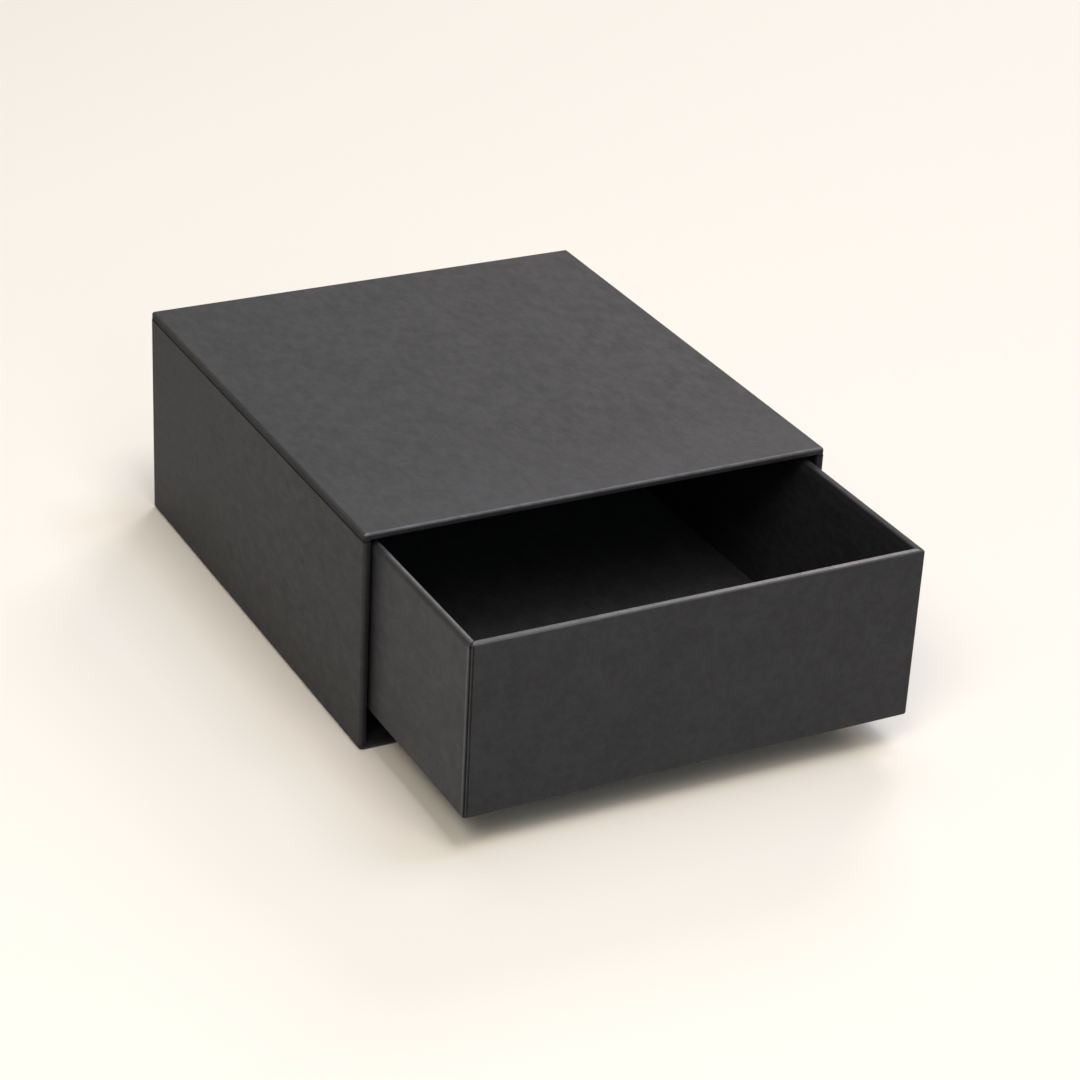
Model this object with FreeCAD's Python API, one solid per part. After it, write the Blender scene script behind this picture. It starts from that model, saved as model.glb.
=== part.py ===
import FreeCAD, Part
import math
import os

# A rigid gift box in two bodies: a drawer tray that slides in a sleeve with a closed back.
# Both are greyboard boxes, taped at their corners, covered outside in paper that is turned in
# over every open edge, and lined inside.  The drawer rides on two folded runners, which leave
# a gap for a fingertip between its underside and the sleeve's floor.
# Millimetres.  X is to the right, Y to the back, Z up.  The origin is the middle of the
# sleeve's underside.

# ---- driving dimensions ------------------------------------------------------------------------
sleeve_width = 180.0        # over the covering papers
sleeve_depth = 200.0
sleeve_height = 84.0
sleeve_board = 2.0          # greyboard of the sleeve
drawer_board = 2.5          # greyboard of the drawer
stay_paper = 0.1            # corner tape, and the film of glue beside it
cover_paper = 0.15          # covering and lining paper
board_easing = 0.8          # radius worn on the outer edges of the boards
rim_easing = 0.4            # radius on the inner edge of an open rim

drawer_side_gap = 1.4       # running clearance on each side of the drawer
drawer_top_gap = 2.5        # clearance over the drawer's rim
drawer_back_gap = 0.6       # clearance behind the closed drawer
finger_gap = 11.0           # clear height under the drawer
drawer_pulled_out = 72.0    # how far the drawer stands out of the sleeve

turn_in = 15.0              # paper turned in over a rim
turn_over = 15.0            # paper turned over onto the next face, under a later sheet
seam_setback = 1.2          # a covering sheet stops this far short of an edge
seam_drop = 2.7             # but the sleeve's side and back sheets stop this far below its top
sheet_gap = 0.25            # left between two sheets that meet on the rim of the mouth
corner_slit = 0.3           # width of the cuts that let the drawer's strip turn in at a corner
slit_eye = 0.35             # radius of the eye that each cut over the rim opens into
touching = 1e-4             # two places closer than this are the same
overshoot = 1e-3            # a cutting outline passes a face by this, where it ends on it
sleeve_lining_setback = 4.0     # the lining starts this far inside the sleeve's mouth
drawer_lining_setback = 3.0     # and this far below the drawer's rim
stay_width = 18.0           # each leg of a corner tape
lap_taper = 45.0            # length over which the lapped end of the drawer's strip fades out

runner_width = 14.0
runner_card = 1.5
runner_bend_radius = 2.0
runner_setback = 24.0       # from the sleeve's mouth to the runner's tip
runner_lead = 9.0           # length of the sloping lead-in at the runner's tip
runner_lead_drop = 5.0
running_gap = 0.3           # between the runners and the drawer
glued_gap = 0.5             # between the runner's end and the back lining

# ---- paper levels, counted outward from the face of the boards ---------------------------------
tape_level = stay_paper
first_sheet = tape_level + cover_paper
second_sheet = first_sheet + cover_paper
third_sheet = second_sheet + cover_paper

beyond = 20.0               # how far a cutting block reaches past what it cuts

# ---- the sleeve's and the drawer's boards as plain boxes ---------------------------------------
sleeve_low = FreeCAD.Vector(-sleeve_width / 2 + second_sheet,
                            -sleeve_depth / 2 + third_sheet,
                            third_sheet)
sleeve_high = FreeCAD.Vector(sleeve_width / 2 - second_sheet,
                             sleeve_depth / 2 - third_sheet,
                             sleeve_height - first_sheet)
sleeve_skin = sleeve_board + second_sheet       # board and lining
floor_top = sleeve_low.z + sleeve_skin
ceiling = sleeve_high.z - sleeve_skin
bay_half_width = sleeve_high.x - sleeve_skin
bay_back = sleeve_high.y - sleeve_skin

drawer_front = -sleeve_depth / 2 - drawer_pulled_out
drawer_back = bay_back - drawer_back_gap - drawer_pulled_out
drawer_half_width = bay_half_width - drawer_side_gap
drawer_bottom = floor_top + finger_gap
drawer_rim = ceiling - drawer_top_gap
drawer_low = FreeCAD.Vector(-drawer_half_width + first_sheet,
                            drawer_front + second_sheet,
                            drawer_bottom + second_sheet)
drawer_high = FreeCAD.Vector(drawer_half_width - first_sheet,
                             drawer_back - first_sheet,
                             drawer_rim - first_sheet)


def block(low, high):
    """A box from its lowest to its highest corner, given as (x, y, z)."""
    low = FreeCAD.Vector(*low)
    size = FreeCAD.Vector(*high) - low
    return Part.makeBox(size.x, size.y, size.z, low)


def hollow_box(low, high, board, opening, outer, inner):
    """The boards from low to high, open at the front or the top, as one shape.

    It is grown by outer on its outside and by inner on its inside, so the difference of two of
    them is a skin of paper that follows the faces, the eased edges and the open rim.
    """
    grow = FreeCAD.Vector(outer, outer, outer)
    body = block(low - grow, high + grow)
    body = body.makeFillet(min(board_easing, 0.4 * board) + outer, body.Edges)
    shrink = FreeCAD.Vector(board + inner, board + inner, board + inner)
    cavity_low = low + shrink
    cavity_high = high - shrink
    if opening == "front":
        rim = FreeCAD.Vector(0, low.y - outer, 0)
        normal = FreeCAD.Vector(0, 1, 0)
        cavity_low.y = low.y - beyond
    else:
        rim = FreeCAD.Vector(0, 0, high.z + outer)
        normal = FreeCAD.Vector(0, 0, 1)
        cavity_high.z = high.z + beyond
    cavity = block(cavity_low, cavity_high)
    body = body.cut(cavity)
    inner_rim = []
    for edge in body.Edges:
        ends = [vertex.Point for vertex in edge.Vertexes]
        on_rim = all(abs((end - rim).dot(normal)) < touching for end in ends)
        if on_rim and cavity.distToShape(Part.Vertex(edge.CenterOfMass))[0] < touching:
            inner_rim.append(edge)
    return body.makeFillet(min(rim_easing, 0.2 * board) + inner, inner_rim)


def joined(pieces):
    """Several touching shapes as one clean solid."""
    whole = pieces[0].multiFuse(pieces[1:]) if len(pieces) > 1 else pieces[0]
    return whole.removeSplitter()


def mirrored(shape):
    """The same piece on the other side of the middle plane."""
    return shape.mirror(FreeCAD.Vector(0, 0, 0), FreeCAD.Vector(1, 0, 0))


parts = {}

# ---- sleeve: five boards, butted and glued -----------------------------------------------------
# The top and base run full size, the sides stand between them, the back is let in last.


def sleeve(outer, inner):
    return hollow_box(sleeve_low, sleeve_high, sleeve_board, "front", outer, inner)


left_in = sleeve_low.x + sleeve_board
right_in = sleeve_high.x - sleeve_board
back_in = sleeve_high.y - sleeve_board
base_in = sleeve_low.z + sleeve_board
top_in = sleeve_high.z - sleeve_board
all_x = (sleeve_low.x - beyond, sleeve_high.x + beyond)
all_y = (sleeve_low.y - beyond, sleeve_high.y + beyond)
all_z = (sleeve_low.z - beyond, sleeve_high.z + beyond)

sleeve_boards = sleeve(0, 0)
parts["sleeve_top_board"] = sleeve_boards.common(
    block((all_x[0], all_y[0], top_in), (all_x[1], all_y[1], all_z[1])))
parts["sleeve_base_board"] = sleeve_boards.common(
    block((all_x[0], all_y[0], all_z[0]), (all_x[1], all_y[1], base_in)))
parts["sleeve_left_board"] = sleeve_boards.common(
    block((all_x[0], all_y[0], base_in), (left_in, all_y[1], top_in)))
parts["sleeve_right_board"] = sleeve_boards.common(
    block((right_in, all_y[0], base_in), (all_x[1], all_y[1], top_in)))
parts["sleeve_back_board"] = sleeve_boards.common(
    block((left_in, back_in, base_in), (right_in, all_y[1], top_in)))

# ---- sleeve: corner tapes along the four long edges --------------------------------------------
tape_skin = sleeve(tape_level, 0).cut(sleeve_boards)
mid_board = sleeve_board / 2
inside = block((sleeve_low.x + mid_board, all_y[0], sleeve_low.z + mid_board),
               (sleeve_high.x - mid_board, sleeve_high.y - mid_board, sleeve_high.z - mid_board))
tape_ends = (sleeve_low.y + seam_setback, sleeve_high.y - seam_setback)
top_tape = tape_skin.common(
    block((all_x[0], tape_ends[0], sleeve_high.z - stay_width),
          (sleeve_low.x + stay_width, tape_ends[1], all_z[1]))).cut(inside)
base_tape = tape_skin.common(
    block((all_x[0], tape_ends[0], all_z[0]),
          (sleeve_low.x + stay_width, tape_ends[1], sleeve_low.z + stay_width))).cut(inside)
parts["sleeve_tape_top_left"] = top_tape
parts["sleeve_tape_top_right"] = mirrored(top_tape)
parts["sleeve_tape_base_left"] = base_tape
parts["sleeve_tape_base_right"] = mirrored(base_tape)

# ---- sleeve: covering papers -------------------------------------------------------------------
# The top sheet goes on first, turned down over both sides and the back and turned in at the
# mouth.  The side sheets lie over its flaps, a little short of the top edge, and are turned
# under the base and round the back.  The back and base sheets finish the box.
taped = sleeve(tape_level, tape_level)
first_skin = sleeve(first_sheet, first_sheet).cut(taped)
second_skin = sleeve(second_sheet, first_sheet).cut(taped)
third_skin = sleeve(third_sheet, first_sheet).cut(taped)

flaps = block((all_x[0], sleeve_low.y + seam_setback, sleeve_high.z - turn_over),
              (all_x[1], all_y[1], all_z[1])).cut(inside)
seam_line = sleeve_high.z - seam_drop
top_lip = block((all_x[0], all_y[0], seam_line + sheet_gap),
                (all_x[1], sleeve_low.y + turn_in, all_z[1]))
top_sheet = first_skin.common(flaps.fuse(top_lip))
parts["sleeve_top_cover"] = top_sheet

side_wrap = block((all_x[0], all_y[0], all_z[0]),
                  (sleeve_low.x + turn_over, all_y[1], seam_line)).cut(inside)
side_lip = block((sleeve_low.x, all_y[0], base_in + first_sheet),
                 (left_in + first_sheet, sleeve_low.y + turn_in, seam_line))
base_rim = block((sleeve_low.x + mid_board, all_y[0], all_z[0]),
                 (sleeve_low.x + turn_over, sleeve_low.y + mid_board, base_in + first_sheet))
side_sheet = second_skin.common(side_wrap.cut(base_rim).fuse(side_lip)).cut(top_sheet)
parts["sleeve_left_cover"] = side_sheet
parts["sleeve_right_cover"] = mirrored(side_sheet)

covered = joined([top_sheet, side_sheet, mirrored(side_sheet)])
back_panel = block((sleeve_low.x + seam_setback, back_in, sleeve_low.z + seam_setback),
                   (sleeve_high.x - seam_setback, all_y[1], seam_line))
parts["sleeve_back_cover"] = third_skin.common(back_panel).cut(covered)
base_panel = block((sleeve_low.x + seam_setback, all_y[0], all_z[0]),
                   (sleeve_high.x - seam_setback, sleeve_high.y - seam_setback,
                    sleeve_low.z + mid_board))
base_lip = block((sleeve_low.x + mid_board, all_y[0], sleeve_low.z),
                 (sleeve_high.x - mid_board, sleeve_low.y + turn_in, base_in + first_sheet))
parts["sleeve_base_cover"] = third_skin.common(base_panel.fuse(base_lip)).cut(covered)

# ---- sleeve: lining ----------------------------------------------------------------------------
# One strip lines the four walls and covers the ends of the turned-in paper; a panel lines the
# back.
bay_skin = sleeve(0, second_sheet).cut(sleeve(0, tape_level)).cut(covered)
bay_skin = bay_skin.cut(parts["sleeve_base_cover"])
bay = block((left_in, sleeve_low.y + sleeve_lining_setback, base_in), (right_in, bay_back, top_in))
parts["sleeve_wall_lining"] = bay_skin.common(bay)
parts["sleeve_back_lining"] = bay_skin.common(
    block((left_in, bay_back, base_in), (right_in, back_in, top_in)))

# ---- sleeve: two runners folded from card ------------------------------------------------------
# Each is a channel glued mouth down on the floor lining against a side wall.  Its front end is
# trimmed to a slope, so the drawer's underside can't catch on it.
runner_front = -sleeve_depth / 2 + runner_setback
runner_back = bay_back - glued_gap
runner_top = drawer_bottom - running_gap
runner_outer = block((-bay_half_width, runner_front, floor_top),
                     (-bay_half_width + runner_width, runner_back, runner_top))
runner_inner = block((-bay_half_width + runner_card, runner_front, floor_top - beyond),
                     (-bay_half_width + runner_width - runner_card, runner_back,
                      runner_top - runner_card))


def bent(shape, top, radius):
    """The two long top edges rounded, as card is at a fold."""
    folds = [edge for edge in shape.Edges
             if abs(edge.BoundBox.ZMin - top) < touching and abs(edge.BoundBox.ZMax - top) < touching
             and edge.BoundBox.YLength > edge.BoundBox.XLength]
    return shape.makeFillet(radius, folds)


runner = bent(runner_outer, runner_top, runner_bend_radius).cut(
    bent(runner_inner, runner_top - runner_card, runner_bend_radius - runner_card))
slope = Part.makePolygon([
    FreeCAD.Vector(-bay_half_width - beyond, runner_front, runner_top - runner_lead_drop),
    FreeCAD.Vector(-bay_half_width - beyond, runner_front + runner_lead, runner_top + overshoot),
    FreeCAD.Vector(-bay_half_width - beyond, runner_front - beyond, runner_top + overshoot),
    FreeCAD.Vector(-bay_half_width - beyond, runner_front - beyond, runner_top - runner_lead_drop),
    FreeCAD.Vector(-bay_half_width - beyond, runner_front, runner_top - runner_lead_drop)])
runner = runner.cut(Part.Face(slope).extrude(FreeCAD.Vector(runner_width + 2 * beyond, 0, 0)))
parts["runner_left"] = runner
parts["runner_right"] = mirrored(runner)

# ---- drawer: five boards -----------------------------------------------------------------------
# The front and back run full width, the sides stand between them, and the base is let in
# between all four.


def drawer(outer, inner):
    return hollow_box(drawer_low, drawer_high, drawer_board, "top", outer, inner)


left_wall = drawer_low.x + drawer_board
right_wall = drawer_high.x - drawer_board
front_wall = drawer_low.y + drawer_board
back_wall = drawer_high.y - drawer_board
base_top = drawer_low.z + drawer_board
all_x = (drawer_low.x - beyond, drawer_high.x + beyond)
all_y = (drawer_low.y - beyond, drawer_high.y + beyond)
all_z = (drawer_low.z - beyond, drawer_high.z + beyond)

drawer_boards = drawer(0, 0)
parts["drawer_front_board"] = drawer_boards.common(
    block((all_x[0], all_y[0], all_z[0]), (all_x[1], front_wall, all_z[1])))
parts["drawer_back_board"] = drawer_boards.common(
    block((all_x[0], back_wall, all_z[0]), (all_x[1], all_y[1], all_z[1])))
parts["drawer_left_board"] = drawer_boards.common(
    block((all_x[0], front_wall, all_z[0]), (left_wall, back_wall, all_z[1])))
parts["drawer_right_board"] = drawer_boards.common(
    block((right_wall, front_wall, all_z[0]), (all_x[1], back_wall, all_z[1])))
parts["drawer_base_board"] = drawer_boards.common(
    block((left_wall, front_wall, all_z[0]), (right_wall, back_wall, base_top)))

# ---- drawer: corner tapes up the four corners --------------------------------------------------
tape_skin = drawer(tape_level, 0).cut(drawer_boards)
mid_board = drawer_board / 2
inside = block((drawer_low.x + mid_board, drawer_low.y + mid_board, drawer_low.z + mid_board),
               (drawer_high.x - mid_board, drawer_high.y - mid_board, all_z[1]))
tape_ends = (drawer_low.z + seam_setback, drawer_high.z - seam_setback)
front_tape = tape_skin.common(
    block((all_x[0], all_y[0], tape_ends[0]),
          (drawer_low.x + stay_width, drawer_low.y + stay_width, tape_ends[1]))).cut(inside)
back_tape = tape_skin.common(
    block((all_x[0], drawer_high.y - stay_width, tape_ends[0]),
          (drawer_low.x + stay_width, all_y[1], tape_ends[1]))).cut(inside)
parts["drawer_tape_front_left"] = front_tape
parts["drawer_tape_front_right"] = mirrored(front_tape)
parts["drawer_tape_back_left"] = back_tape
parts["drawer_tape_back_right"] = mirrored(back_tape)

# ---- drawer: covering papers -------------------------------------------------------------------
# One long strip runs round the four walls, is turned in over the rim and turned under the
# base.  Its end laps over its start at the front left corner, a little short of the corner,
# and its raised edge fades out along the front.  At each corner the strip is cut on the mitre,
# over the rim and under the base, so that its edges can be turned.
taped = drawer(tape_level, tape_level)
wall_skin = drawer(first_sheet, first_sheet).cut(taped)
under_middle = block((drawer_low.x + turn_over, drawer_low.y + turn_over, all_z[0]),
                     (drawer_high.x - turn_over, drawer_high.y - turn_over,
                      drawer_low.z + mid_board))
below_turn_in = block((drawer_low.x + mid_board, drawer_low.y + mid_board,
                       drawer_low.z + mid_board),
                      (drawer_high.x - mid_board, drawer_high.y - mid_board,
                       drawer_high.z - turn_in))
lap_skin = drawer(second_sheet, first_sheet).cut(drawer(first_sheet, first_sheet))
lap_edge = drawer_low.x + seam_setback
lap_outline = Part.makePolygon([
    FreeCAD.Vector(lap_edge, drawer_low.y - second_sheet - overshoot, drawer_low.z),
    FreeCAD.Vector(lap_edge + lap_taper, drawer_low.y - first_sheet, drawer_low.z),
    FreeCAD.Vector(lap_edge + lap_taper, front_wall, drawer_low.z),
    FreeCAD.Vector(lap_edge, front_wall, drawer_low.z),
    FreeCAD.Vector(lap_edge, drawer_low.y - second_sheet - overshoot, drawer_low.z)])
lap_height = FreeCAD.Vector(0, 0, drawer_high.z - drawer_low.z)
lap = lap_skin.common(Part.Face(lap_outline).extrude(lap_height))
strip = joined([wall_skin.cut(under_middle).cut(below_turn_in), lap])


def mitre_cut(corner_y, turn, low, high, length, eye):
    """The cut at one left corner of the strip, from just inside the corner, at so many degrees."""
    start = board_easing * math.sqrt(2)
    cut = Part.makeBox(length, corner_slit, high - low,
                       FreeCAD.Vector(start, -corner_slit / 2, 0))
    if eye:
        cut = cut.fuse(Part.makeCylinder(eye, high - low, FreeCAD.Vector(start + eye, 0, 0)))
    cut.rotate(FreeCAD.Vector(0, 0, 0), FreeCAD.Vector(0, 0, 1), turn)
    cut.translate(FreeCAD.Vector(drawer_low.x, corner_y, low))
    return cut


across_rim = (drawer_board + first_sheet) * math.sqrt(2)
across_flap = turn_over * math.sqrt(2)
cuts = []
for corner_y, turn in ((drawer_low.y, 45), (drawer_high.y, -45)):
    over = mitre_cut(corner_y, turn, drawer_high.z - turn_in, all_z[1], across_rim, slit_eye)
    under = mitre_cut(corner_y, turn, all_z[0], drawer_low.z, across_flap, 0)
    cuts += [over, under, mirrored(over), mirrored(under)]
parts["drawer_wall_cover"] = strip.cut(cuts)

under_skin = drawer(second_sheet, first_sheet).cut(taped)
under_panel = block((drawer_low.x + seam_setback, drawer_low.y + seam_setback, all_z[0]),
                    (drawer_high.x - seam_setback, drawer_high.y - seam_setback,
                     drawer_low.z + mid_board))
parts["drawer_base_cover"] = under_skin.common(under_panel).cut(strip)

# ---- drawer: lining ----------------------------------------------------------------------------
# A strip lines the four walls from just under the rim, over the turned-in paper, and a panel
# lines the floor.
tray_skin = drawer(0, second_sheet).cut(drawer(0, tape_level)).cut(strip)
lining_top = drawer_high.z - drawer_lining_setback
parts["drawer_wall_lining"] = tray_skin.common(
    block((left_wall, front_wall, base_top + second_sheet), (right_wall, back_wall, lining_top)))
parts["drawer_floor_lining"] = tray_skin.common(
    block((left_wall, front_wall, base_top), (right_wall, back_wall, base_top + second_sheet)))

os.makedirs("parts", exist_ok=True)
for name, shape in parts.items():
    piece = shape.Solids[0]
    piece.exportStep("parts/" + name + ".step")
    print(name, len(shape.Solids), round(shape.Volume, 1), shape.isValid(),
          [round(v, 2) for v in (shape.BoundBox.XMin, shape.BoundBox.XMax, shape.BoundBox.YMin,
                                 shape.BoundBox.YMax, shape.BoundBox.ZMin, shape.BoundBox.ZMax)])
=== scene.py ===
import math

import bpy
from mathutils import Matrix, Vector


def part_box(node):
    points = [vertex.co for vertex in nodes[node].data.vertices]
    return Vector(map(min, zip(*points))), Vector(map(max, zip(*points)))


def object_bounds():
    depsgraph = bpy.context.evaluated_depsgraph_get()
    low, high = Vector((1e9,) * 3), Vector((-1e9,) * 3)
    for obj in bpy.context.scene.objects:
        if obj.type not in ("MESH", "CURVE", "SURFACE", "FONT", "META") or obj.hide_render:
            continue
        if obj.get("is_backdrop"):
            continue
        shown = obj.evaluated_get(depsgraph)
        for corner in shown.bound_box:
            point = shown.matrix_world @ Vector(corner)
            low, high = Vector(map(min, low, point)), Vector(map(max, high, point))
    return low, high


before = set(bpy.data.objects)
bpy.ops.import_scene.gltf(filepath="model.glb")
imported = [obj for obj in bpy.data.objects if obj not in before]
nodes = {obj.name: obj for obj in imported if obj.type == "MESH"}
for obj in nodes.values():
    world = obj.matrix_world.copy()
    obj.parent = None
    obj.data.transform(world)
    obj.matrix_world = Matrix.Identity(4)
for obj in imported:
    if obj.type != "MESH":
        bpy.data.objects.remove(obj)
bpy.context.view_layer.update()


# --- Boards of the sleeve ---------------------------------------------------------
# Five panels of 2 mm greyboard, pressed from recycled pulp and dyed black through.
# They are butted and glued, and paper hides all of them but a hair at a slit.
board_dye = (0.020, 0.019, 0.018)
fleck_dye = (0.050, 0.047, 0.043)
pulp_cloud = 0.004
pulp_depth = 0.0002
flecks_per_metre = 900.0
fleck_edge = 0.32
fleck_heart = 0.10


def new_finish(name):
    """A material, ready for the nodes that colour it."""
    finish = bpy.data.materials.new(name)
    finish.use_nodes = True
    return finish


def shader_of(finish):
    """The shader that all nodes of a finish lead to."""
    return finish.node_tree.nodes["Principled BSDF"]


def feed(finish, node, inputs):
    """Puts a value or a link on each named input of a node."""
    for socket, value in inputs.items():
        if isinstance(value, bpy.types.NodeSocket):
            finish.node_tree.links.new(value, node.inputs[socket])
        else:
            node.inputs[socket].default_value = value


def add(finish, kind, inputs, **settings):
    """One more node in a finish, with its settings and its inputs."""
    made = finish.node_tree.nodes.new("ShaderNode" + kind)
    for name, value in settings.items():
        setattr(made, name, value)
    feed(finish, made, inputs)
    return made


def reckon(finish, operation, *values):
    """One step of arithmetic on numbers, places or masks."""
    return add(finish, "Math", dict(enumerate(values)), operation=operation).outputs[0]


def times(finish, first, second):
    """Both masks at once."""
    return reckon(finish, "MULTIPLY", first, second)


def on_the_piece(finish):
    """Where a point lies on the piece, in metres."""
    return add(finish, "TexCoord", {}).outputs["Object"]


def clouds(finish, size, detail, spread=0.6, place=None):
    """Soft patches about so many metres across, with finer ones in them."""
    place = place or on_the_piece(finish)
    return add(finish, "TexNoise", {"Vector": place, "Scale": 1.0 / size,
                                    "Detail": detail, "Roughness": spread}).outputs["Fac"]


def ramp(finish, value, start, end):
    """0 where the value is at start, 1 where it is at end, soft between."""
    return add(finish, "MapRange", {"Value": value, "From Min": start, "From Max": end},
               interpolation_type="SMOOTHSTEP").outputs["Result"]


def blend(finish, share, first, second):
    """From the first colour to the second."""
    return add(finish, "Mix", {"Factor": share, "A": (*first, 1.0), "B": (*second, 1.0)},
               data_type="RGBA").outputs[2]


def relief(finish, height, strength, depth):
    """Small ups and downs of the face, so many metres deep."""
    return add(finish, "Bump", {"Height": height, "Strength": strength,
                                "Distance": depth}).outputs[0]


def cover_with(finish, pieces):
    """The named pieces take this finish all over."""
    for name in pieces:
        nodes[name].data.materials.clear()
        nodes[name].data.materials.append(finish)


def dyed_board():
    """Pulp board: cloudy, flecked with bits of fibre, and rough where it is cut."""
    finish = new_finish("black_board")
    pulp = clouds(finish, size=pulp_cloud, detail=4.0)
    specks = add(finish, "TexVoronoi", {"Vector": on_the_piece(finish),
                                        "Scale": flecks_per_metre}).outputs["Distance"]
    flecks = times(finish, ramp(finish, specks, fleck_edge, fleck_heart), pulp)
    uneven = relief(finish, pulp, strength=0.4, depth=pulp_depth)
    feed(finish, shader_of(finish), {"Base Color": blend(finish, flecks, board_dye, fleck_dye),
                                     "Roughness": 0.9, "Specular IOR Level": 0.15,
                                     "Normal": uneven})
    return finish


black_board = dyed_board()
cover_with(black_board, ["sleeve_top_board", "sleeve_base_board", "sleeve_left_board",
                         "sleeve_right_board", "sleeve_back_board"])


# --- Corner tapes of the sleeve -----------------------------------------------------
# Gummed kraft tape, dyed dark, wetted and rubbed down along the four long edges.
# It keeps the butted boards square until the covering paper goes on.
kraft_dark = (0.030, 0.025, 0.021)
kraft_light = (0.052, 0.043, 0.035)
kraft_grain = (1.0, 0.12, 1.0)
fibres_per_metre = 1400.0
fibre_depth = 0.00005
noise_low = 0.35
noise_high = 0.65


def drawn_out(finish, grain):
    """Where a point lies on the piece, drawn out along the grain of the sheet."""
    return add(finish, "VectorMath", {0: on_the_piece(finish), 1: grain},
               operation="MULTIPLY").outputs[0]


def gummed_tape():
    """Kraft paper: fibres drawn out along the roll, with a slight shine of gum."""
    finish = new_finish("gummed_tape")
    fibres = clouds(finish, size=1.0 / fibres_per_metre, detail=3.0, spread=0.5,
                    place=drawn_out(finish, kraft_grain))
    colour = blend(finish, ramp(finish, fibres, noise_low, noise_high), kraft_dark, kraft_light)
    fibrous = relief(finish, fibres, strength=0.3, depth=fibre_depth)
    feed(finish, shader_of(finish), {"Base Color": colour, "Roughness": 0.55,
                                     "Normal": fibrous})
    return finish


kraft = gummed_tape()
cover_with(kraft, ["sleeve_tape_top_left", "sleeve_tape_top_right",
                   "sleeve_tape_base_left", "sleeve_tape_base_right"])


# --- Top sheet of the sleeve ----------------------------------------------------------
# Soft charcoal paper, dyed in the pulp.  The sheet is glued over the top, turned down over
# the sides and back and in at the mouth.  Its top is painted lighter towards the mouth, its
# flaps carry painted shade with a painted shadow line at their lower edge, and its front edge
# has a painted highlight over the bone folder's faint polish.
paper_dark = (0.0229, 0.0236, 0.0267)
paper_light = (0.0311, 0.0320, 0.0362)
paper_grain = (1.0, 0.6, 1.0)
formation_size = 0.0032
felt_size = 0.0009
felt_share = 0.35
felt_depth = 0.00012
blotch_size = 0.011
blotch_share = 0.5
mottle_range = 0.18
handling_size = 0.0045
least_dull = 0.56
most_dull = 0.64
paper_gloss = 0.2
polish_dullness = 0.3
painted_light_reach = 0.055
fold_radius = 0.0008
seam_drop = 0.00295
seam_shadow = 0.0008
crease_width = 0.0012
crease_depth = 0.0010
tip_length = 0.0030


def vary(finish, noise, least, most):
    """From the least value to the most, as the noise goes."""
    return add(finish, "MapRange", {"Value": noise, "From Min": noise_low, "From Max": noise_high,
                                    "To Min": least, "To Max": most}).outputs["Result"]


def charcoal_paper(name, dark, light):
    """Uncoated paper with a cloudy look and a fine felt grain, dull all over."""
    finish = new_finish(name)
    grained = drawn_out(finish, paper_grain)
    formation = clouds(finish, size=formation_size, detail=5.0, spread=0.7, place=grained)
    felt = clouds(finish, size=felt_size, detail=2.0, place=grained)
    blotches = clouds(finish, size=blotch_size, detail=2.0, place=grained)
    handling = clouds(finish, size=handling_size, detail=4.0, place=grained)
    fine = reckon(finish, "MULTIPLY_ADD", felt, felt_share, formation)
    mottle = reckon(finish, "MULTIPLY_ADD", blotches, blotch_share, fine)
    middle = 0.5 * (noise_low + noise_high) * (1.0 + felt_share + blotch_share)
    share = ramp(finish, mottle, middle - mottle_range, middle + mottle_range)
    feed(finish, shader_of(finish), {"Base Color": blend(finish, share, dark, light),
                                     "Roughness": vary(finish, handling, least_dull, most_dull),
                                     "Specular IOR Level": paper_gloss,
                                     "Normal": relief(finish, felt, strength=0.5, depth=felt_depth)})
    return finish


def wear_and_painted_light(finish, where, tone, dullness, polish=0.0, patches=None, least=0.0):
    """Changes the colour by a factor and the roughness to a value where the mask is 1.

    With patches the mark comes and goes over so many metres, down to its least share.  It
    paints real wear, and also painted shade and painted highlights.  A polish lays a faint clear
    shine over it, as paper gets where it is rubbed.
    """
    if patches:
        where = times(finish, where, vary(finish, clouds(finish, patches, detail=3.0), least, 1.0))
    shader = shader_of(finish)
    colour = shader.inputs["Base Color"].links[0].from_socket
    roughness = shader.inputs["Roughness"].links[0].from_socket
    toned = add(finish, "Mix", {"Factor": where, "A": colour, "B": (tone, tone, tone, 1.0)},
                data_type="RGBA", blend_type="MULTIPLY").outputs[2]
    rubbed = add(finish, "Mix", {"Factor": where, "A": roughness, "B": dullness}).outputs[0]
    feed(finish, shader, {"Base Color": toned, "Roughness": rubbed})
    if polish:
        shine = times(finish, where, polish)
        coat = shader.inputs["Coat Weight"]
        if coat.is_linked:
            shine = reckon(finish, "MAXIMUM", shine, coat.links[0].from_socket)
        feed(finish, shader, {"Coat Weight": shine, "Coat Roughness": polish_dullness})


def along(finish, axis):
    """How far a point lies along X, Y or Z, in metres."""
    return add(finish, "SeparateXYZ", {"Vector": on_the_piece(finish)}).outputs[axis]


def less(finish, first, second):
    """The first value less the second."""
    return reckon(finish, "SUBTRACT", first, second)


def within(finish, distance, reach, full):
    """1 up to the full share of the reach, 0 from the reach on, soft between."""
    return ramp(finish, distance, reach, full * reach)


finish = charcoal_paper("sleeve_top_paper", paper_dark, paper_light)
low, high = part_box("sleeve_top_cover")
from_left = less(finish, along(finish, "X"), low[0])
from_mouth = less(finish, along(finish, "Y"), low[1])
below_top = less(finish, high[2], along(finish, "Z"))
# Painted light: the top is painted lighter towards the mouth, where more light falls.
painted_front_light = within(finish, from_mouth, painted_light_reach, full=0.0)
wear_and_painted_light(finish, painted_front_light, tone=1.22, dullness=0.585, patches=0.030, least=0.9)
# Painted shade on the turned-down flaps just below the top edge.
painted_flap_shade = ramp(finish, below_top, 0.5 * fold_radius, 1.5 * fold_radius)
wear_and_painted_light(finish, painted_flap_shade, tone=0.4, dullness=0.75, patches=0.010, least=0.7)
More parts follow.
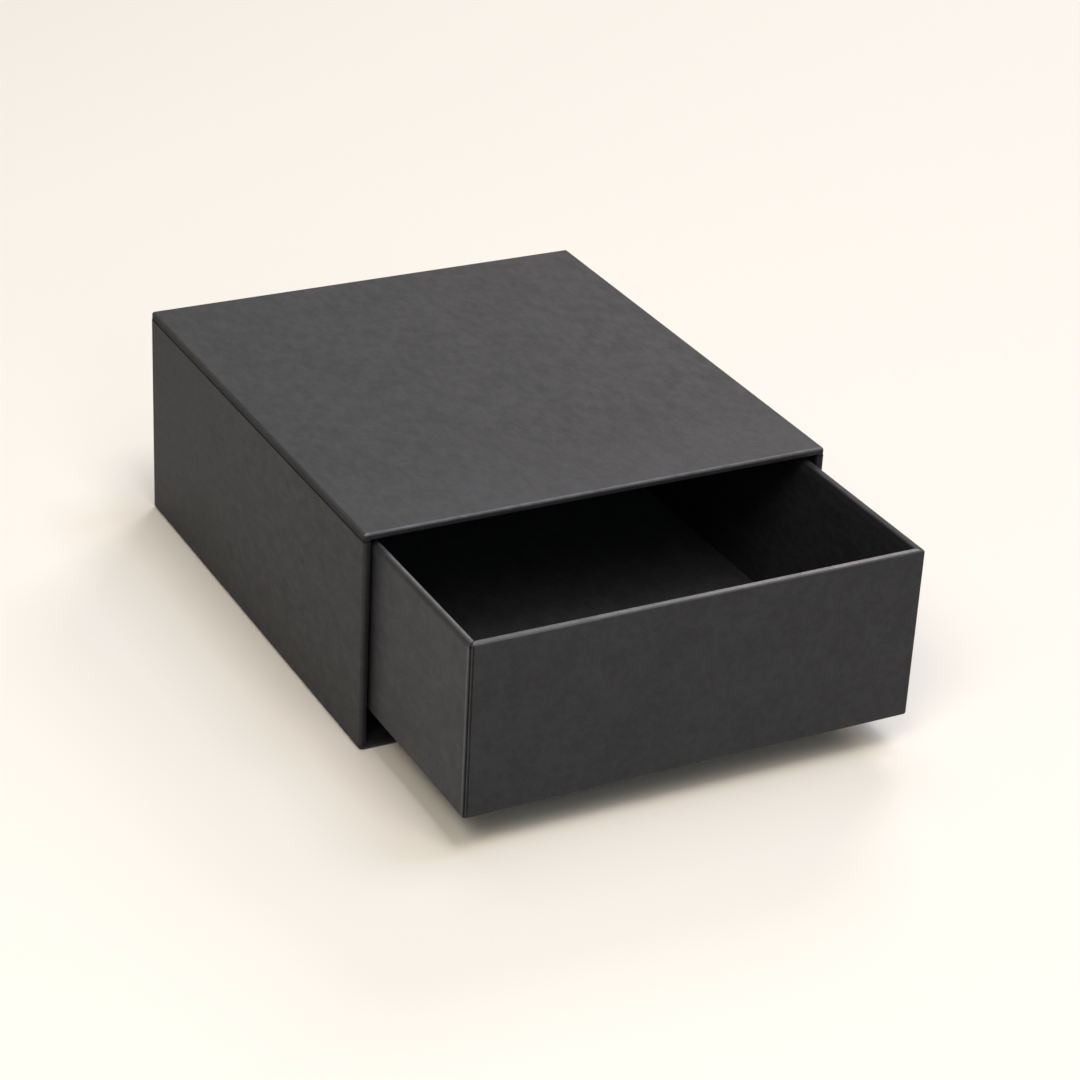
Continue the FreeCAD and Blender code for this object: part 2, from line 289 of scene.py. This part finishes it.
# A painted shadow line at the lower edge of the flaps, where the side sheets meet them.
painted_seam_shade = ramp(finish, below_top, seam_drop - seam_shadow, seam_drop)
wear_and_painted_light(finish, painted_seam_shade, tone=0.2, dullness=0.85, patches=0.008, least=0.8)
# A painted highlight along the front edge, over a faint real polish.
painted_crease_highlight = times(finish, within(finish, from_mouth, crease_width, full=0.5),
               within(finish, below_top, crease_depth, full=0.3))
wear_and_painted_light(finish, painted_crease_highlight, tone=1.5, dullness=0.35, polish=0.7, patches=0.005, least=0.5)
# A brighter painted highlight at the left end of the front edge.
painted_tip_highlight = times(finish, painted_crease_highlight, within(finish, from_left, tip_length, full=0.5))
wear_and_painted_light(finish, painted_tip_highlight, tone=1.5, dullness=0.35, polish=0.8)
cover_with(finish, ["sleeve_top_cover"])


# --- Side sheets of the sleeve ----------------------------------------------------------
# The same paper, laid over the top sheet's flaps a little below the top edge, then turned
# under the base and round the back.  Painted shade darkens it towards the back and in a line
# along its top edge, at the mouth more so towards the inside, and on its turned-in part.
mouth_reach = 0.0020
mouth_band = 0.0022
inner_edge = 0.0024
inner_blur = 0.0002


def size_of(finish, value):
    """The value without its sign."""
    return reckon(finish, "ABSOLUTE", value)


def outside(finish, where):
    """All that the mask leaves out."""
    return less(finish, 1.0, where)


finish = charcoal_paper("sleeve_side_paper", paper_dark, paper_light)
low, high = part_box("sleeve_left_cover")
from_mouth = less(finish, along(finish, "Y"), low[1])
from_side = less(finish, -low[0], size_of(finish, along(finish, "X")))
below_seam = less(finish, high[2], along(finish, "Z"))
# Painted shade: the side is darker away from the mouth, where less light falls.
painted_back_shade = ramp(finish, from_mouth, painted_light_reach, high[1] - low[1])
wear_and_painted_light(finish, painted_back_shade, tone=0.82, dullness=0.62, patches=0.030, least=0.9)
# A painted shadow line along the top edge, under the top sheet's flaps.
painted_seam_shade = within(finish, below_seam, seam_shadow, full=0.0)
wear_and_painted_light(finish, painted_seam_shade, tone=0.22, dullness=0.85, patches=0.008, least=0.75)
at_mouth = within(finish, from_mouth, mouth_reach, full=0.4)
inside = ramp(finish, from_side, inner_edge - inner_blur, inner_edge)
# Painted shade on the edge at the mouth, darker towards the inside.
mouth = times(finish, times(finish, at_mouth, ramp(finish, from_side, 0.0, mouth_band)),
              outside(finish, inside))
wear_and_painted_light(finish, mouth, tone=0.15, dullness=0.85, patches=0.010, least=0.8)
# Painted shade on the part turned in past the mouth.
painted_inner_shade = times(finish, inside, outside(finish, at_mouth))
wear_and_painted_light(finish, painted_inner_shade, tone=0.3, dullness=0.85)
cover_with(finish, ["sleeve_left_cover", "sleeve_right_cover"])


# --- Back and base sheets of the sleeve -----------------------------------------------------
# Two plain panels of the same paper finish the sleeve.  Each stops just short of the edges,
# and the one under the base is turned in at the mouth, where it carries painted shade.
lip_height = 0.0018
lip_blur = 0.0004

finish = charcoal_paper("sleeve_back_paper", paper_dark, paper_light)
cover_with(finish, ["sleeve_back_cover"])

finish = charcoal_paper("sleeve_base_paper", paper_dark, paper_light)
# Painted shade on the base sheet above its lowest 1.8 mm, on its turned-in parts.
painted_lip_shade = ramp(finish, along(finish, "Z"), lip_height - lip_blur, lip_height)
wear_and_painted_light(finish, painted_lip_shade, tone=0.3, dullness=0.85)
cover_with(finish, ["sleeve_base_cover"])


# --- Lining of the sleeve -----------------------------------------------------------------
# Thinner black paper.  One strip runs round the four inner walls and covers the turned-in
# edges of the sheets, and a panel lines the back.
lining_dark = (0.0155, 0.0162, 0.0198)
lining_light = (0.0258, 0.0270, 0.0330)

finish = charcoal_paper("sleeve_lining_paper", lining_dark, lining_light)
cover_with(finish, ["sleeve_wall_lining", "sleeve_back_lining"])


# --- Runners --------------------------------------------------------------------------------
# Two channels folded from 1.5 mm black card and glued along the sleeve's floor.  The drawer
# slides on them, which rubs their tops smooth and a little lighter.
rubbed_depth = 0.0006

finish = charcoal_paper("runner_card", lining_dark, lining_light)
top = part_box("runner_left")[1][2]
below_top = less(finish, top, along(finish, "Z"))
rubbed = within(finish, below_top, rubbed_depth, full=0.0)
wear_and_painted_light(finish, rubbed, tone=1.5, dullness=0.4, patches=0.020, least=0.3)
cover_with(finish, ["runner_left", "runner_right"])


# --- Boards of the drawer -------------------------------------------------------------------
# Five panels of 2.5 mm board of the same black greyboard.  The front and back run full width,
# the sides stand between them, and the base is let in between all four.
cover_with(black_board, ["drawer_front_board", "drawer_back_board", "drawer_left_board",
                         "drawer_right_board", "drawer_base_board"])


# --- Corner tapes of the drawer ---------------------------------------------------------------
# The same gummed tape, one length up each corner of the tray.  It holds the walls together
# while the long strip is wrapped round them.
cover_with(kraft, ["drawer_tape_front_left", "drawer_tape_front_right",
                   "drawer_tape_back_left", "drawer_tape_back_right"])


# --- Strip round the drawer -----------------------------------------------------------------
# One long sheet of the charcoal paper runs round the four walls, over the rim and under the
# base.  Its rim has painted highlights and painted shade over a faint polish, its front and
# the line down its front left corner have painted shade, and its long sides are painted lighter.
rim_depth = 0.0006
rim_flat = 0.0020
mitre_blur = 0.0002
middle_blur = 0.001
side_skin = 0.0006
edge_middle = 0.0015
edge_width = 0.0007
fold_drop = 0.0020
front_skin = 0.0010
lap_middle = 0.0013
lap_shadow = 0.0004
bead_middle = 0.00075
bead_width = 0.00035
score_reach = 0.0015
score_width = 0.0005
notch_reach = 0.0030
notch_width = 0.0008
notch_depth = 0.0014


def line(finish, first, second, width, full):
    """A line where the first value meets the second, reaching the width to either side."""
    return within(finish, size_of(finish, less(finish, first, second)), width, full)


finish = charcoal_paper("drawer_paper", paper_dark, paper_light)
low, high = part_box("drawer_wall_cover")
x = along(finish, "X")
from_left = less(finish, x, low[0])
from_side = less(finish, high[0], size_of(finish, x))
from_front = less(finish, along(finish, "Y"), low[1])
below_top = less(finish, high[2], along(finish, "Z"))

# The rim: a painted highlight over a faint polish in front, a painted highlight on the left's inner
# edge above painted shade on its bend, and painted shade on the right.
on_rim = within(finish, below_top, rim_depth, full=0.3)
at_front = ramp(finish, less(finish, from_side, from_front), -mitre_blur, mitre_blur)
# A painted highlight over a faint real polish on the front rim.
front_rim_painted_highlight = times(finish, on_rim, at_front)
wear_and_painted_light(finish, front_rim_painted_highlight, tone=1.8, dullness=0.42, polish=0.35, patches=0.008, least=0.7)
side_rim = times(finish, on_rim, outside(finish, at_front))
on_left = ramp(finish, x, middle_blur, -middle_blur)
left_rim = times(finish, side_rim, on_left)
# Painted shade on the outer bend of the left rim.
painted_left_bend_shade = times(finish, left_rim, ramp(finish, from_side, 0.8 * rim_flat, 0.4 * rim_flat))
wear_and_painted_light(finish, painted_left_bend_shade, tone=0.6, dullness=0.65)
# A painted highlight, standing for a grazing reflection, on the left rim's inner edge.
painted_left_edge_highlight = times(finish, left_rim, ramp(finish, from_side, 0.7 * rim_flat, rim_flat))
wear_and_painted_light(finish, painted_left_edge_highlight, tone=2.6, dullness=0.4, polish=0.45, patches=0.006, least=0.6)
# Painted shade dims the right rim's inner edge.
painted_right_rim_shade = times(finish, times(finish, side_rim, outside(finish, on_left)),
                  ramp(finish, from_side, 0.5 * rim_flat, rim_flat))
wear_and_painted_light(finish, painted_right_rim_shade, tone=0.5, dullness=0.65, patches=0.012, least=0.3)

# The long sides, painted lighter, with a painted highlight beside the front corner and a band of
# painted shade under the rim.
# Painted light: the long sides are painted lighter, for the light that falls on them.
painted_light_side = within(finish, from_side, side_skin, full=0.5)
wear_and_painted_light(finish, painted_light_side, tone=1.52, dullness=0.57, patches=0.010, least=0.6)
# A painted highlight in a line beside the front corner.
painted_side_edge_highlight = times(finish, painted_light_side, line(finish, from_front, edge_middle, edge_width, full=0.5))
wear_and_painted_light(finish, painted_side_edge_highlight, tone=2.2, dullness=0.5, patches=0.012, least=0.6)
# A band of painted shade just under the rim.
painted_fold_shade = times(finish, painted_light_side, within(finish, below_top, fold_drop, full=0.4))
wear_and_painted_light(finish, painted_fold_shade, tone=0.72, dullness=0.65, patches=0.010, least=0.6)

# The front, painted a little darker, with a painted shadow where the sheet laps over and a painted
# highlight on the paper's beaded edge.
# Painted shade: the whole front is painted a little darker.
painted_shade_front = within(finish, from_front, front_skin, full=0.5)
wear_and_painted_light(finish, painted_shade_front, tone=0.86, dullness=0.605, patches=0.030, least=0.6)
# A painted shadow where the sheet laps over near the left corner.
painted_lap_shadow = times(finish, painted_shade_front, line(finish, from_left, lap_middle, lap_shadow, full=0.6))
wear_and_painted_light(finish, painted_lap_shadow, tone=0.45, dullness=0.75, patches=0.020, least=0.7)
# A painted highlight on the paper's beaded edge by the corner.
painted_bead_highlight = times(finish, painted_shade_front, line(finish, from_left, bead_middle, bead_width, full=0.6))
wear_and_painted_light(finish, painted_bead_highlight, tone=1.5, dullness=0.5, patches=0.010, least=0.7)

# Painted shade in the line down the front left corner, and at the top of the slit there.
to_corner = reckon(finish, "ADD", from_front, from_left)
# Painted shade in a line down the front left corner.
painted_score_shade = times(finish, within(finish, to_corner, score_reach, full=0.8),
              line(finish, from_front, from_left, score_width, full=0.5))
wear_and_painted_light(finish, painted_score_shade, tone=0.12, dullness=0.9)
# Painted shade at the top of the slit.
slit = times(finish, within(finish, to_corner, notch_reach, full=0.8),
             line(finish, from_front, from_left, notch_width, full=0.6))
painted_notch_shade = times(finish, slit, within(finish, below_top, notch_depth, full=0.7))
wear_and_painted_light(finish, painted_notch_shade, tone=0.1, dullness=0.9)
cover_with(finish, ["drawer_wall_cover"])


# --- Sheet under the drawer -----------------------------------------------------------------
# A plain panel of the charcoal paper, glued over the strip's turned-under edges.  It slides
# on the runners.
finish = charcoal_paper("drawer_base_paper", paper_dark, paper_light)
cover_with(finish, ["drawer_base_cover"])


# --- Lining of the drawer -------------------------------------------------------------------
# A strip of the thin black paper lines the walls from just under the rim, with painted shade
# along its top edge.  The panel on the floor is painted lighter than the walls, for the light
# that falls on it.
lining_cut = 0.0003
painted_lit_floor_dark = (0.0325, 0.0340, 0.0395)
painted_lit_floor_light = (0.0445, 0.0468, 0.0540)

finish = charcoal_paper("drawer_lining_paper", lining_dark, lining_light)
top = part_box("drawer_wall_lining")[1][2]
below_top = less(finish, top, along(finish, "Z"))
# Painted shade along the lining's cut top edge.
painted_cut_edge_shade = within(finish, below_top, lining_cut, full=0.5)
wear_and_painted_light(finish, painted_cut_edge_shade, tone=0.4, dullness=0.85)
cover_with(finish, ["drawer_wall_lining"])

# Painted light: the floor panel is a lighter copy of the lining, for the light that falls on it.
finish = charcoal_paper("drawer_floor_paper", painted_lit_floor_dark, painted_lit_floor_light)
cover_with(finish, ["drawer_floor_lining"])


# --- Table top -------------------------------------------------------------------------------
# A wide pale board under the box, quite dull, which takes its soft shadows.  It reaches so far
# that no edge of it is in sight.
table_radius = 5.0
table_colour = (0.955, 0.915, 0.845)

bpy.ops.mesh.primitive_circle_add(vertices=96, radius=table_radius, fill_type="NGON")
table = bpy.context.object
table.name = "table"
finish = new_finish("table")
feed(finish, shader_of(finish), {"Base Color": (*table_colour, 1.0), "Roughness": 1.0,
                                 "Specular IOR Level": 0.0})
table.data.materials.append(finish)
table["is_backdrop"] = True


# --- Lamps -------------------------------------------------------------------------------------
# Three soft lamps hang overhead and a wide one far in front.  One at the back right gives the
# top its slight sheen, one near the front left lights the long side, and a weak one low in
# front reaches into the drawer.
lit_point = Vector((0.0, -0.04, 0.04))


def softbox(name, place, size, watts, tint):
    """A square soft lamp turned to the box."""
    lamp = bpy.data.lights.new(name, "AREA")
    lamp.shape = "SQUARE"
    lamp.size = size
    lamp.energy = watts
    lamp.color = tint
    holder = bpy.data.objects.new(name, lamp)
    holder.location = place
    holder.rotation_mode = "QUATERNION"
    holder.rotation_quaternion = (lit_point - Vector(place)).to_track_quat("-Z", "Y")
    bpy.context.scene.collection.objects.link(holder)


softbox("over_front", (0.1, -1.2, 2.8), size=1.0, watts=28.1, tint=(1.0, 0.949, 0.905))
softbox("over_back", (0.1, 0.8, 2.9), size=1.0, watts=9.4, tint=(0.84, 0.86, 1.0))
softbox("over_right", (1.0, -0.2, 2.8), size=1.0, watts=21.3, tint=(0.68, 0.795, 1.0))
softbox("back_right", (1.6, 1.6, 1.7), size=1.0, watts=22.5, tint=(1.0, 0.91, 0.89))
softbox("front_left", (-1.0, -1.0, 1.5), size=0.8, watts=14.4, tint=(1.0, 0.89, 0.805))
softbox("far_front", (0.3, -3.6, 3.6), size=1.6, watts=18.0, tint=(1.0, 0.91, 0.945))
softbox("low_front", (-0.3, -3.0, 1.4), size=1.0, watts=8.8, tint=(0.86, 0.92, 1.0))


# --- Room ---------------------------------------------------------------------------------------
# Faint yellow-green light from all round fills the shadows.  Where the room itself is seen or
# mirrored, it has the tone of the table top.
room_colour = (0.94, 1.0, 0.65)
room_strength = 0.11

room = bpy.data.worlds.new("room")
room.use_nodes = True
room.node_tree.nodes.clear()
rays = add(room, "LightPath", {}).outputs
seen = reckon(room, "MAXIMUM", rays["Is Camera Ray"], rays["Is Glossy Ray"])
lit = add(room, "Background", {"Color": (*room_colour, 1.0), "Strength": room_strength})
shown = add(room, "Background", {"Color": (*table_colour, 1.0)})
either = add(room, "MixShader", {0: seen, 1: lit.outputs[0], 2: shown.outputs[0]})
add(room, "OutputWorld", {"Surface": either.outputs[0]})
bpy.context.scene.world = room


# --- Camera ------------------------------------------------------------------------------------
# It stands above and to the front left of the box, and looks down at it through a long lens.
# It is tilted a little to one side.
camera_place = Vector((-0.4563, -0.8958, 0.5424))
camera_aim = Vector((0.0030, -0.0507, 0.0400))
camera_roll = math.radians(3.04)
film_width = 36.0
lens_length = 99.36

lens = bpy.data.cameras.new("camera")
lens.sensor_width = film_width
lens.lens = lens_length
camera = bpy.data.objects.new("camera", lens)
camera.location = camera_place
camera.rotation_mode = "QUATERNION"
level = (camera_aim - camera_place).to_track_quat("-Z", "Y").to_matrix()
camera.rotation_quaternion = (level @ Matrix.Rotation(camera_roll, 3, "Z")).to_quaternion()
bpy.context.scene.collection.objects.link(camera)
bpy.context.scene.camera = camera
bpy.context.scene.view_settings.view_transform = "Standard"

low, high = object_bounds()
